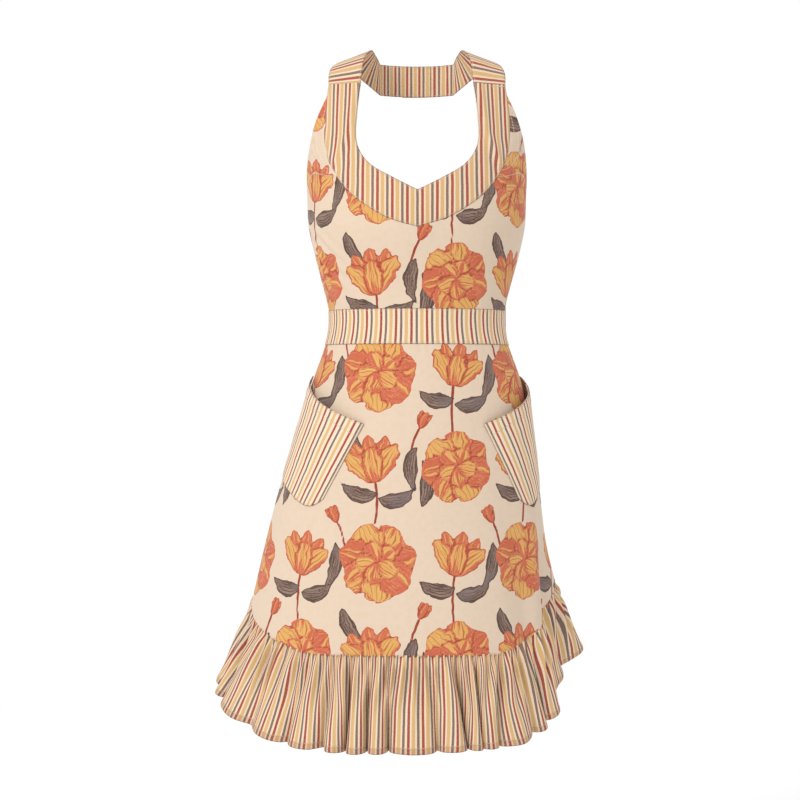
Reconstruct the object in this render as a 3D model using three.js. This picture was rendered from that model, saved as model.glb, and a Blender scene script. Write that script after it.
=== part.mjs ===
// Halter apron in the shape it takes when it is worn and tied: a printed bib and skirt, with a striped neckline
// band, neck straps, waistband, pockets, flounce and tie bow.
// Millimetres, +Z up, the wearer faces -Y. Inside the group, heights are counted from the middle of the waistband
// and Y from the middle of the figure. The group then moves the nape of the neck strap to the origin.
import * as THREE from "three";

const { lerp, smoothstep, degToRad } = THREE.MathUtils;

// ---------------------------------------------------------------- driving sizes
const clothThickness = 1.4; // one layer of cotton with its turnings
const clearance = 0.3; // between two pieces that touch

const waistHalfWidth = 124;
const waistDepth = 92; // from the middle of the figure to its front, and to its back
const hipFlare = 24; // how much wider than the waist each half is
const bustFlare = 30;
const bustSwell = 30; // how much deeper than the waist the front is
const hemFlareLeft = 124; // at the skirt's hem, on the side that flares more
const hemFlareRight = 66; // and on the side that hangs closer
const hemSwell = 60;

const waistbandHeight = 48;
const waistbandWrap = 130; // degrees from the centre front to each end of the waistband
const skirtLength = 428; // from the waistband to the flounce, at the centre front
const skirtWrap = 112; // degrees from the centre front to each side edge, at the hem
const cornerRise = 100; // how far the rounded bottom corners of the skirt climb
const cornerStart = 35; // degrees from the centre front where they begin
const flounceHeight = 131; // at the centre front
const flounceEndHeight = 112; // at the side edges
const flounceFolds = 26;
const foldDepth = 12; // how far a fold stands out at the flounce's hem
const backFlick = 36; // how far the loose back corner swings out on the closer side

const bibWrap = 90; // degrees from the centre front to each side of the bib, at the waist
const strapSeamHeight = 342; // where the neckline band meets the neck strap
const strapWidth = 45;
const napeRadius = 80;
const napeTurn = 41.4; // degrees each side of the centre back over which the strap stands upright
const napeHeight = 361; // middle of the strap at the nape
const napeBack = 65; // from the middle of the figure to the strap's inner face
const strapLap = 20; // how far each strap end passes the centre back
const tapeLength = 32;
const tapeThickness = 1.0;

const pocketWidth = 134; // along the mouth
const pocketDepth = 146;
const pocketTilt = 30; // degrees that the mouth slopes down towards the centre front
const pocketReach = 84; // round the skirt from the centre front to the inner end of the mouth
const pocketDrop = 112; // from the waistband down to the inner end of the mouth
const pocketGape = 12; // how far the mouth stands open
const mouthDip = 8; // how far the mouth's curve dips below a straight line
const pocketRound = 26; // how much the bottom corners are rounded off
const mouthFacingThickness = 0.8;
const pocketSeat = 0.7; // from the skirt to the pocket's stitched sides
const skirtTurn = 10; // how far the worn skirt is turned towards +X

const knotHalfWidth = 17;
const knotHalfHeight = 15;
const knotDepth = 24;
const loopReachRight = 116; // from the knot to the tip of each bow loop
const loopReachLeft = 98;
const loopOpening = 32;
const tailLength = 360;
const tailWidth = 46;
const tailPivotRadius = 6; // half width of a tail where it leaves the knot
const tailSpread = 8; // from the centre back to each tail

// ---------------------------------------------------------------- fabrics
const cotton = (color) => new THREE.MeshStandardMaterial({ color, roughness: 0.9, metalness: 0 });
const print = cotton(0xecd2b4);
const stripe = cotton(0xdfb98c);
const plain = cotton(0xefdcc4);
const tape = cotton(0xf3efe6);

// ---------------------------------------------------------------- the figure that the cloth lies on
const bandEdge = waistbandHeight / 2;
const hemHeight = -bandEdge - skirtLength;
const hipHalfWidth = waistHalfWidth + hipFlare;
const bustHalfWidth = waistHalfWidth + bustFlare;
const bustDepth = waistDepth + bustSwell;
const hemLeft = waistHalfWidth + hemFlareLeft;
const hemRight = waistHalfWidth + hemFlareRight;
const hemDepth = waistDepth + hemSwell;

// Height, half width left, half width right, depth in front, depth behind.
const stations = [
  [hemHeight - flounceHeight - 40, hemLeft + 34, hemRight + 14, hemDepth + 14, 128],
  [hemHeight, hemLeft, hemRight, hemDepth, 122],
  [hemHeight * 0.55, hipHalfWidth + 52, hipHalfWidth + 27, hemDepth - 21, 118],
  [hemHeight * 0.32, hipHalfWidth + 20, hipHalfWidth + 11, hemDepth - 33, 114],
  [-bandEdge - 54, hipHalfWidth, hipHalfWidth, waistDepth + 15, 106],
  [-bandEdge, waistHalfWidth + 5, waistHalfWidth + 5, waistDepth + 3, waistDepth + 3],
  [0, waistHalfWidth, waistHalfWidth, waistDepth, waistDepth],
  [bandEdge, waistHalfWidth, waistHalfWidth, waistDepth + 2, waistDepth],
  [bandEdge + 38, waistHalfWidth + 8, waistHalfWidth + 8, waistDepth + 9, waistDepth],
  [140, bustHalfWidth - 1, bustHalfWidth - 1, bustDepth, waistDepth],
  [190, bustHalfWidth + 1, bustHalfWidth + 1, bustDepth - 1, waistDepth],
  [240, bustHalfWidth + 3, bustHalfWidth + 3, bustDepth - 19, waistDepth],
  [290, bustHalfWidth + 6, bustHalfWidth + 6, bustDepth - 44, waistDepth],
  [strapSeamHeight + 5, bustHalfWidth + 11, bustHalfWidth + 11, bustDepth - 66, waistDepth],
];
const figure = new THREE.CubicInterpolant(
  stations.map((row) => row[0]),
  stations.flatMap((row) => row.slice(1)),
  4,
);

function sizesAt(height) {
  const [left, right, front, back] = figure.evaluate(height);
  return { left, right, front, back };
}

// Point of the figure at an angle in degrees from the centre front, towards +X, and a height.
function figurePoint(angle, height) {
  const { left, right, front, back } = sizesAt(height);
  const turn = degToRad(angle);
  const halfWidth = angle < 0 ? left : right;
  const depth = Math.abs(angle) < 90 ? front : back;
  const low = smoothstep(-height, 0.55 * -hemHeight, -hemHeight);
  const flick = backFlick * smoothstep(angle, 82, skirtWrap) * low;
  return new THREE.Vector3(
    (halfWidth + flick) * Math.sin(turn),
    -(depth + flick) * Math.cos(turn),
    height,
  );
}

// The same point lifted off the figure, along its outward normal.
function onFigure(angle, height, lift = 0) {
  const across = figurePoint(angle + 0.5, height).sub(figurePoint(angle - 0.5, height));
  const up = figurePoint(angle, height + 1).sub(figurePoint(angle, height - 1));
  return figurePoint(angle, height).addScaledVector(across.cross(up).normalize(), lift);
}

// The angle that lies a given way round the figure from the centre front, at one height.
function angleAt(way, height) {
  const step = way < 0 ? -1.5 : 1.5;
  let angle = 0;
  let gone = 0;
  let here = figurePoint(0, height);
  while (Math.abs(angle) < 175) {
    const next = figurePoint(angle + step, height);
    const length = next.distanceTo(here);
    if (gone + length >= Math.abs(way)) return angle + (step * (Math.abs(way) - gone)) / length;
    gone += length;
    angle += step;
    here = next;
  }
  return angle;
}

// ---------------------------------------------------------------- cloth
// A sheet of cloth: a flat box, bent so that its middle follows surface(u, v). The faces lie at the two lifts,
// along the surface's own normal.
function cloth(name, fabric, columns, rows, surface, inner = 0, outer = clothThickness) {
  const small = 1e-3;
  const geometry = new THREE.BoxGeometry(1, 1, 1, columns, rows, 1);
  const corner = geometry.getAttribute("position");
  for (let i = 0; i < corner.count; i += 1) {
    const u = corner.getX(i) + 0.5;
    const v = corner.getY(i) + 0.5;
    const w = corner.getZ(i) + 0.5;
    const along = surface(Math.min(1, u + small), v).sub(surface(Math.max(0, u - small), v));
    const up = surface(u, Math.min(1, v + small)).sub(surface(u, Math.max(0, v - small)));
    const normal = along.cross(up).normalize();
    const place = surface(u, v).addScaledVector(normal, lerp(inner, outer, w));
    corner.setXYZ(i, place.x, place.y, place.z);
  }
  geometry.computeVertexNormals();
  const mesh = new THREE.Mesh(geometry, fabric);
  mesh.name = name;
  return mesh;
}

// The same surface on the other side of the apron. Turning u round keeps its normal facing out.
const mirrored = (surface) => (u, v) => surface(1 - u, v).multiply(new THREE.Vector3(-1, 1, 1));

// Lifts of a facing, which lies inside the outer layer.
const facingOuter = -2 * clearance;
const facingInner = facingOuter - clothThickness;

const apron = new THREE.Group();

// ---------------------------------------------------------------- neckline band and bib
// Half of each edge of the neckline band, seen from the front, from the centre to the strap seam: X and height.
const outerEdge = new THREE.SplineCurve([
  new THREE.Vector2(0, 136),
  new THREE.Vector2(48, 152),
  new THREE.Vector2(96, 188),
  new THREE.Vector2(124, 234),
  new THREE.Vector2(130, 286),
  new THREE.Vector2(124, strapSeamHeight),
]);
const innerEdge = new THREE.SplineCurve([
  new THREE.Vector2(0, 187),
  new THREE.Vector2(34, 204),
  new THREE.Vector2(67, 226),
  new THREE.Vector2(84, 256),
  new THREE.Vector2(84, 300),
  new THREE.Vector2(124 - strapWidth, strapSeamHeight),
]);
const neckColumns = 32;

// Angle and height of a point between the band's outer edge (v = 0) and inner edge (v = 1).
function neckPlace(u, v) {
  const way = 2 * u - 1;
  const place = outerEdge.getPoint(Math.abs(way)).lerp(innerEdge.getPoint(Math.abs(way)), v);
  const halfWidth = sizesAt(place.y).right;
  const angle = THREE.MathUtils.radToDeg(Math.asin(place.x / halfWidth)) * Math.sign(way);
  return new THREE.Vector2(angle, place.y);
}

function neckSurface(u, v) {
  const seam = clearance / strapWidth;
  const { x, y } = neckPlace(u, lerp(seam, 1, v));
  return onFigure(x, y);
}

apron.add(cloth("neckline_band", stripe, neckColumns, 3, neckSurface));
apron.add(cloth("neckline_facing", plain, neckColumns, 3, neckSurface, facingInner, facingOuter));

// Degrees by which the bib's side edge stands further round than a straight blend from waistband to strap seam,
// at even steps of height. They draw the armhole.
const armholeTurns = [0, 8, 16, 22, 19, 10, 0];
const armhole = new THREE.SplineCurve(armholeTurns.map((turn, i) => new THREE.Vector2(i, turn)));

// The bib fills the space between the waistband, the two armhole edges and the neckline band.
function bibSurface(u, v) {
  const way = 2 * u - 1;
  const top = neckPlace(u, 0);
  const angle = lerp(bibWrap * way, top.x, v) + armhole.getPoint(v).y * way;
  return onFigure(angle, lerp(bandEdge + clearance, top.y, v));
}

apron.add(cloth("bib", print, neckColumns, 12, bibSurface));

// ---------------------------------------------------------------- neck straps
// Edges of the left strap from its seam over the shoulder to where it stands upright behind the neck.
const upright = new THREE.Vector2(
  napeRadius * Math.sin(degToRad(napeTurn)),
  napeBack - napeRadius + napeRadius * Math.cos(degToRad(napeTurn)),
);
const seamInner = onFigure(neckPlace(0, 1).x, strapSeamHeight + clearance);
const seamOuter = onFigure(neckPlace(0, 0).x, strapSeamHeight + clearance);
const neckSide = new THREE.CatmullRomCurve3([
  seamInner,
  new THREE.Vector3(-77, -30, 378),
  new THREE.Vector3(-73, 2, 396),
  new THREE.Vector3(-62, 31, 391),
  new THREE.Vector3(-upright.x, upright.y, napeHeight + strapWidth / 2),
]);
const shoulderSide = new THREE.CatmullRomCurve3([
  seamOuter,
  new THREE.Vector3(-121, -20, 362),
  new THREE.Vector3(-109, 5, 374),
  new THREE.Vector3(-77, 32, 356),
  new THREE.Vector3(-upright.x, upright.y, napeHeight - strapWidth / 2),
]);
const overShoulder = (u, v) => neckSide.getPoint(u).lerp(shoulderSide.getPoint(u), v);

// The upright part lies on a circle round the nape. Angles run from the centre back, towards +X.
function roundNape(turn, v, lift = 0) {
  const radius = napeRadius + lift;
  return new THREE.Vector3(
    radius * Math.sin(degToRad(turn)),
    napeBack - napeRadius + radius * Math.cos(degToRad(turn)),
    napeHeight + strapWidth * (0.5 - v),
  );
}
const lapTurn = THREE.MathUtils.radToDeg(strapLap / napeRadius);
const gapTurn = THREE.MathUtils.radToDeg((2 * clearance) / napeRadius);
const tapeTurn = THREE.MathUtils.radToDeg(tapeLength / 2 / napeRadius);

// The left strap is one piece from its seam to the lap at the nape.
const overShare = 0.62;
function strapLeft(u, v) {
  if (u < overShare) return overShoulder(u / overShare, v);
  return roundNape(lerp(-napeTurn, lapTurn, (u - overShare) / (1 - overShare)), v);
}
apron.add(cloth("neck_strap_left", stripe, 22, 3, strapLeft));
apron.add(cloth("neck_strap_right", stripe, 13, 3, mirrored(overShoulder)));

// The right strap's free end laps over the left strap, with the two halves of the fastening tape between them.
const loopTapeLift = clothThickness + clearance;
const hookTapeLift = loopTapeLift + tapeThickness + clearance;
const lapLift = hookTapeLift + tapeThickness + clearance;
function strapEnd(u, v) {
  const turn = lerp(napeTurn - gapTurn, -lapTurn, 1 - u);
  const lift = lapLift * smoothstep(-turn, -napeTurn + 1, -lapTurn - 3);
  return roundNape(turn, v, lift);
}
const tapeAt = (u, v) => roundNape(lerp(-tapeTurn, tapeTurn, u), lerp(0.12, 0.88, v));
apron.add(cloth("neck_strap_end", stripe, 12, 3, strapEnd));
apron.add(cloth("loop_tape", tape, 4, 1, tapeAt, loopTapeLift, loopTapeLift + tapeThickness));
apron.add(cloth("hook_tape", tape, 4, 1, tapeAt, hookTapeLift, hookTapeLift + tapeThickness));

// ---------------------------------------------------------------- waistband and ties
const waistSurface = (u, v) =>
  onFigure(lerp(-waistbandWrap, waistbandWrap, u), lerp(-bandEdge, bandEdge, v));
apron.add(cloth("waistband", stripe, 44, 2, waistSurface));
apron.add(cloth("waistband_facing", plain, 44, 2, waistSurface, facingInner, facingOuter));

// Each tie runs from the end of the waistband to the centre back under the knot, where it is gathered.
const tieEnd = 180 - THREE.MathUtils.radToDeg((2 * clearance) / waistHalfWidth);
function tieRight(u, v) {
  const start = waistbandWrap + THREE.MathUtils.radToDeg(clearance / waistDepth);
  const half = lerp(bandEdge, knotHalfHeight * 0.8, smoothstep(u, 0.35, 1));
  return onFigure(lerp(start, tieEnd, u), lerp(-half, half, v));
}
apron.add(cloth("waist_tie_right", stripe, 10, 2, tieRight));
apron.add(cloth("waist_tie_left", stripe, 10, 2, mirrored(tieRight)));

// ---------------------------------------------------------------- the bow at the back
const knotRound = knotDepth / 2;
const knotMiddle = waistDepth + clothThickness + clearance + knotRound;
const knotShape = new THREE.CapsuleGeometry(knotRound, 2 * (knotHalfWidth - knotRound), 5, 20);
knotShape.rotateZ(Math.PI / 2).scale(1, 1, knotHalfHeight / knotRound);
const knot = new THREE.Mesh(knotShape, stripe);
knot.name = "bow_knot";
knot.position.set(0, knotMiddle, 0);
apron.add(knot);

// A bow loop leaves the knot, widens, turns at its tip and comes back.
function bowLoop(reach, lean) {
  const start = knotHalfWidth - 0.6;
  const near = waistDepth + 2 * clothThickness + clearance;
  const far = near + loopOpening;
  const path = new THREE.CatmullRomCurve3([
    new THREE.Vector3(start, knotMiddle - 5, 0),
    new THREE.Vector3(start + reach * 0.3, near, 0),
    new THREE.Vector3(start + reach * 0.75, near, 0),
    new THREE.Vector3(start + reach, (near + far) / 2, 0),
    new THREE.Vector3(start + reach * 0.75, far, 0),
    new THREE.Vector3(start + reach * 0.3, far - 3, 0),
    new THREE.Vector3(start, knotMiddle + 5, 0),
  ]);
  return (u, v) => {
    const place = path.getPoint(u);
    const away = (place.x - start) / reach;
    const height = lerp(knotHalfHeight * 0.6, bandEdge - 2, smoothstep(away, 0, 0.5));
    return place.setZ(away * lean + lerp(-height, height, v));
  };
}
apron.add(cloth("bow_loop_right", stripe, 18, 1, bowLoop(loopReachRight, 12)));
apron.add(cloth("bow_loop_left", stripe, 18, 1, mirrored(bowLoop(loopReachLeft, -8))));

// A tail hangs from a rounded end under the knot and widens to the full width of the sash.
function bowTail(side, back) {
  const pivot = -knotHalfHeight - clearance - tailPivotRadius;
  const top = pivot + tailPivotRadius;
  return (u, v) => {
    const gone = (1 - v) ** 2 * tailLength;
    const rounded = Math.sqrt(Math.max(0.02, 1 - (1 - gone / tailPivotRadius) ** 2));
    const narrow = gone < tailPivotRadius ? tailPivotRadius * rounded : tailPivotRadius;
    const half = lerp(narrow, tailWidth / 2, smoothstep(gone, tailPivotRadius, 90));
    return new THREE.Vector3(side * tailSpread + lerp(half, -half, u), back, top - gone);
  };
}
const tailGap = 2.6;
apron.add(cloth("bow_tail_right", stripe, 2, 16, bowTail(1, knotMiddle - tailGap / 2 - clothThickness)));
apron.add(cloth("bow_tail_left", stripe, 2, 16, bowTail(-1, knotMiddle + tailGap / 2)));

// ---------------------------------------------------------------- skirt
// Height of the seam between skirt and flounce. It climbs towards the side edges.
function seamHeight(angle) {
  const share = Math.max(0, Math.abs(angle) - cornerStart) / (skirtWrap - cornerStart);
  return hemHeight + cornerRise * share ** 1.3;
}

const skirtColumns = 52;
function skirtSurface(u, v) {
  const turn = lerp(skirtWrap, waistbandWrap, v) * (2 * u - 1);
  const low = seamHeight(skirtWrap * (2 * u - 1));
  return onFigure(turn, lerp(low, -bandEdge - clearance, v));
}
apron.add(cloth("skirt", print, skirtColumns, 9, skirtSurface));

// ---------------------------------------------------------------- pockets
// Place on the flat skirt of a point of a pocket, for the side towards +X: u from the side near the centre front
// to the outer side, v from the bottom to the mouth.
function pocketPlace(u, v) {
  const tilt = degToRad(pocketTilt);
  const along = new THREE.Vector2(Math.cos(tilt), Math.sin(tilt));
  const down = new THREE.Vector2(Math.sin(tilt), -Math.cos(tilt));
  const dip = mouthDip * Math.sin(Math.PI * u);
  const end = pocketDepth - pocketRound * Math.abs(2 * u - 1) ** 6;
  return new THREE.Vector2(pocketReach, -bandEdge - pocketDrop)
    .addScaledVector(along, pocketWidth * u)
    .addScaledVector(down, lerp(end, dip, v));
}

// A pocket stands off the skirt at its mouth and lies on it along the stitched sides and bottom. The worn skirt
// is turned a little, so both pockets sit further round towards +X.
function pocketSurface(side) {
  return (u, v) => {
    const across = side > 0 ? u : 1 - u;
    const place = pocketPlace(across, v);
    const lift = clothThickness + pocketSeat + pocketGape * Math.sin(Math.PI * u) * v ** 1.2;
    return onFigure(angleAt(side * place.x + skirtTurn, place.y), place.y, lift);
  };
}

// The strip that faces the mouth inside is the pocket's top row, short of the stitched sides.
const pocketColumns = 14;
const pocketRows = 10;
const facingColumns = pocketColumns - 4;
function mouthFacing(side) {
  const pocket = pocketSurface(side);
  const clear = 2 / pocketColumns;
  return (u, v) => pocket(lerp(clear, 1 - clear, u), lerp(1 - 1 / pocketRows, 1, v));
}
const mouthLifts = [facingOuter - mouthFacingThickness, facingOuter];

for (const [side, end] of [[-1, "left"], [1, "right"]]) {
  apron.add(cloth(`pocket_${end}`, stripe, pocketColumns, pocketRows, pocketSurface(side)));
  apron.add(cloth(`pocket_facing_${end}`, plain, facingColumns, 1, mouthFacing(side), ...mouthLifts));
}

// ---------------------------------------------------------------- flounce
// The flounce hangs square to its seam, and its folds deepen towards its hem.
function flounceSurface(u, v) {
  const angle = skirtWrap * (2 * u - 1);
  const seamPoint = (turn) => figurePoint(turn, seamHeight(turn) - 2 * clearance);
  const along = seamPoint(angle + 0.5).sub(seamPoint(angle - 0.5)).normalize();
  const height = seamHeight(angle) - 2 * clearance;
  const full = lerp(flounceHeight, flounceEndHeight, smoothstep(Math.abs(angle), cornerStart, skirtWrap));
  const out = onFigure(angle, height, 1).sub(figurePoint(angle, height));
  const down = along.cross(out).normalize();
  if (down.z > 0) down.negate();
  const gone = 1 - v;
  const fold = foldDepth * gone * Math.sin(2 * Math.PI * flounceFolds * u);
  return seamPoint(angle)
    .addScaledVector(down, gone * full)
    .addScaledVector(out, fold);
}
apron.add(cloth("flounce", stripe, skirtColumns * 2, 3, flounceSurface));

// ---------------------------------------------------------------- origin at the nape
apron.position.set(0, -napeBack, -napeHeight);

const part = new THREE.Group();
part.add(apron);

export default part;
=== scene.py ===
"""A halter apron as it hangs when it is worn and tied. Every piece is cloth, in metres, where the CAD has it.
Heights are counted from the middle of the waistband, and angles in degrees from the centre front."""

import math

import bmesh
import bpy
import numpy as np
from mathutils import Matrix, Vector


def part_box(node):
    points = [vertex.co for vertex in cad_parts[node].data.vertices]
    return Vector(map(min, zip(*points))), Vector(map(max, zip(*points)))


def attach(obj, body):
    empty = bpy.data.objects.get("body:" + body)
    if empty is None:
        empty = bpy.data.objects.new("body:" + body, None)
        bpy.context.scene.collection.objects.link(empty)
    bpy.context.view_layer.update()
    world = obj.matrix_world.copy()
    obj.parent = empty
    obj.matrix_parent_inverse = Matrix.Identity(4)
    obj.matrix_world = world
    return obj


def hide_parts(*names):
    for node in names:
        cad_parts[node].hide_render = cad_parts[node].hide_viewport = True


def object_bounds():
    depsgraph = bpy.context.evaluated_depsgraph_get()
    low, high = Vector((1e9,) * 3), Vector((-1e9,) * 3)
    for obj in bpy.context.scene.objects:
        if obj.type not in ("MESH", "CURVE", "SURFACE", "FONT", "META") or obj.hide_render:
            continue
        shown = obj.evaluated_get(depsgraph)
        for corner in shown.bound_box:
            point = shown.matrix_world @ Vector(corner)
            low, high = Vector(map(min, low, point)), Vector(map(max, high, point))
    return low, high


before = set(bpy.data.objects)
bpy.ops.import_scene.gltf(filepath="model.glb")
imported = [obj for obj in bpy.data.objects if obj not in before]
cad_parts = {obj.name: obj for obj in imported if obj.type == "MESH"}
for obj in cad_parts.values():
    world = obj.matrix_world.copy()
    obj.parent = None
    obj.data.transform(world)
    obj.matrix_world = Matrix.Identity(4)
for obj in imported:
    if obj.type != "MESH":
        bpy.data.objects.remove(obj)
cad_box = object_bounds()


# -------------------------------------------------------------------------------- camera
# A long lens straight in front of the apron, at half its height.
band_low, band_high = (Vector(corner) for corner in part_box("waistband"))
waist_height = (band_low.z + band_high.z) / 2
figure_middle = -0.065  # Y of the middle of the worn figure

camera = bpy.data.objects.new("camera", bpy.data.cameras.new("camera"))
camera.data.lens = 100.8
camera.location = (-0.024, figure_middle - 3.2, waist_height - 0.1025)
camera.rotation_euler = (math.pi / 2, 0, 0)
bpy.context.scene.collection.objects.link(camera)
bpy.context.scene.camera = camera


# -------------------------------------------------------------------------------- neckline band
# A shaped band of striped cotton follows the neck opening down to a soft point. It is faced inside with plain
# cotton, sewn over the top of the bib and topstitched on both edges.

# All the pieces take the shape of a waist, hips and bust. Each station gives a height, then the half width
# left and right, and the depth in front and behind. The skirt flares more on the left.
stations = np.array([
    (-0.623, 0.282, 0.204, 0.166, 0.128),
    (-0.452, 0.248, 0.190, 0.152, 0.122),
    (-0.2486, 0.200, 0.175, 0.131, 0.118),
    (-0.1446, 0.168, 0.159, 0.119, 0.114),
    (-0.078, 0.148, 0.148, 0.107, 0.106),
    (-0.024, 0.129, 0.129, 0.095, 0.095),
    (0.0, 0.124, 0.124, 0.092, 0.092),
    (0.024, 0.124, 0.124, 0.094, 0.092),
    (0.062, 0.132, 0.132, 0.101, 0.092),
    (0.140, 0.153, 0.153, 0.122, 0.092),
    (0.190, 0.155, 0.155, 0.121, 0.092),
    (0.240, 0.157, 0.157, 0.103, 0.092),
    (0.290, 0.160, 0.160, 0.078, 0.092),
    (0.347, 0.165, 0.165, 0.056, 0.092),
])
hip_height, hem_height = -0.2486, -0.452
side_edge = 112  # degrees from the centre front to the skirt's side edges, at the hem
corner_flick = 0.036  # how far the loose back corner swings out on the closer side


def lerp(start, end, share):
    return start + (end - start) * share


def ease(value, low, high):
    """Smooth step from 0 at low to 1 at high."""
    share = np.clip((value - low) / (high - low), 0, 1)
    return share * share * (3 - 2 * share)


def unit(vectors):
    return vectors / np.linalg.norm(vectors, axis=-1, keepdims=True)


def sizes_at(height):
    """Half widths left and right, and depths in front and behind, on a smooth curve through the stations."""
    heights, sizes = stations[:, 0], stations[:, 1:]
    slopes = np.gradient(sizes, axis=0) / np.gradient(heights)[:, None]
    row = np.clip(np.searchsorted(heights, height) - 1, 0, len(heights) - 2)
    span = (heights[row + 1] - heights[row])[:, None]
    t = ((np.clip(height, heights[0], heights[-1]) - heights[row])[:, None]) / span
    return (
        (2 * t**3 - 3 * t**2 + 1) * sizes[row]
        + (t**3 - 2 * t**2 + t) * span * slopes[row]
        + (3 * t**2 - 2 * t**3) * sizes[row + 1]
        + (t**3 - t**2) * span * slopes[row + 1]
    ).T


def figure_point(angle, height):
    left, right, front, back = sizes_at(height)
    turn = np.radians(angle)
    half_width = np.where(angle < 0, left, right)
    depth = np.where(abs(angle) < 90, front, back)
    flick = corner_flick * ease(angle, side_edge - 30, side_edge) * ease(-height, -hip_height, -hem_height)
    return np.stack([(half_width + flick) * np.sin(turn), -(depth + flick) * np.cos(turn), height], -1)


def rough(x, y, seed):
    """Smooth random height between -1 and 1, one bump to each unit."""
    table = np.random.RandomState(seed).uniform(-1, 1, (64, 64))
    column, row = np.floor(x).astype(int), np.floor(y).astype(int)
    across, up = ease(x - column, 0, 1), ease(y - row, 0, 1)
    low = lerp(table[row % 64, column % 64], table[row % 64, (column + 1) % 64], across)
    high = lerp(table[(row + 1) % 64, column % 64], table[(row + 1) % 64, (column + 1) % 64], across)
    return lerp(low, high, up)


def soft_folds(angle, height):
    """How far the cloth stands off the figure: long soft folds in the skirt, and creases at the waist."""
    low = ease(-height, 0.05, 0.45)
    skirt = 0.0045 * low * rough(angle / 17 + height * 3, height * 1.5, 3)
    side_fold = ease(-height, 0.22, 0.42) * (
        0.004 * np.exp(-(((angle - 62) / 6) ** 2)) - 0.013 * np.exp(-(((angle - 77) / 7) ** 2))
    )
    bodice = ease(height, 0.02, 0.08)
    crease_place = np.exp(-(((angle + 66) / 15) ** 2) - (((height - 0.085) / 0.04) ** 2))
    creases = 0.0022 * bodice * crease_place * np.sin((height * 0.8 + np.radians(angle) * 0.09) / 0.0028)
    bib = 0.0016 * bodice * rough(angle / 14 + height * 9, height * 14, 8)
    near_band = np.exp(-((abs(height) - 0.024) / 0.022) ** 2) * ease(abs(height), 0.02, 0.03)
    ease_in = 0.0009 * near_band * rough(angle / 2.6 + height * 20, height * 9, 5)
    return skirt + side_fold + creases + bib + ease_in


def on_figure(angle, height, lift=0.0):
    """Point of the cloth at an angle in degrees and a height, lifted along the figure's outward normal."""
    across = figure_point(angle + 0.5, height) - figure_point(angle - 0.5, height)
    up = figure_point(angle, height + 0.001) - figure_point(angle, height - 0.001)
    off = lift + soft_folds(angle, height)
    return figure_point(angle, height) + unit(np.cross(across, up)) * np.reshape(off, (-1, 1))


# Way round the figure from the centre front, for each height and each angle.
way_step = 0.01
way_angles = np.arange(-176, 177, 1.0)
way_heights = np.arange(-0.62, 0.35, way_step)


def make_ways():
    rows = []
    for height in way_heights:
        ring = figure_point(way_angles, np.full(len(way_angles), height))
        steps = np.linalg.norm(np.diff(ring, axis=0), axis=1)
        gone = np.concatenate([[0], np.cumsum(steps)])
        rows.append(gone - np.interp(0, way_angles, gone))
    return np.array(rows)


ways = make_ways()


def way_round(angle, height):
    """How far round the figure an angle lies from the centre front."""
    row = np.clip((height - way_heights[0]) / way_step, 0, len(way_heights) - 1.001)
    column = np.clip(angle - way_angles[0], 0, len(way_angles) - 1.001)
    i, j = row.astype(int), column.astype(int)
    low = lerp(ways[i, j], ways[i, j + 1], column - j)
    high = lerp(ways[i + 1, j], ways[i + 1, j + 1], column - j)
    return lerp(low, high, row - i)


def angle_at(way, height):
    """The angle that lies a given way round the figure at a height."""
    low, high = np.full(len(way), -175.0), np.full(len(way), 175.0)
    for _ in range(22):
        middle = (low + high) / 2
        short = way_round(middle, height) < way
        low, high = np.where(short, middle, low), np.where(short, high, middle)
    return (low + high) / 2


# All of the apron is one weight of woven cotton, cut as sheets. Each sheet has its flat pattern as a UV map,
# in metres, and the distance from its stitched edge as a number at each point.
cloth_thickness = 0.0008


def sheet_of_cloth(name, columns, rows, place, flat, rim, front, back=None, marks=None, body="apron"):
    """A grid bent to place(u, v), given in the figure's frame. Its thickness goes inwards from there."""
    mesh = bpy.data.meshes.new(name)
    grid = bmesh.new()
    bmesh.ops.create_grid(grid, x_segments=columns, y_segments=rows, size=1)
    grid.to_mesh(mesh)
    grid.free()
    corners = np.empty(len(mesh.vertices) * 3, np.float32)
    mesh.vertices.foreach_get("co", corners)
    corners = corners.reshape(-1, 3).astype(float)
    low, high = corners.min(0), corners.max(0)
    u, v = ((corners[:, i] - low[i]) / (high[i] - low[i]) for i in (0, 1))
    points = place(u, v) + np.array((0, figure_middle, waist_height))
    mesh.vertices.foreach_set("co", points.astype(np.float32).ravel())
    owners = np.empty(len(mesh.loops), np.int32)
    mesh.loops.foreach_get("vertex_index", owners)
    pattern = np.stack(flat(u, v), -1)
    mesh.uv_layers.new(name="cloth").data.foreach_set("uv", pattern[owners].astype(np.float32).ravel())
    marks = dict(marks(u, v) if marks else {})
    marks["rim"] = rim(u, v)
    for mark, values in marks.items():
        mesh.attributes.new(mark, "FLOAT", "POINT").data.foreach_set("value", values.astype(np.float32))
    mesh.polygons.foreach_set("use_smooth", np.ones(len(mesh.polygons), bool))
    mesh.materials.append(front.material)
    mesh.materials.append((back or front).material)
    piece = bpy.data.objects.new(name, mesh)
    bpy.context.scene.collection.objects.link(piece)
    wall = piece.modifiers.new("thickness", "SOLIDIFY")
    wall.thickness = cloth_thickness
    wall.offset = -1
    wall.material_offset = 1
    wall.material_offset_rim = 0
    mesh.update()
    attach(piece, body)
    return piece


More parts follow.
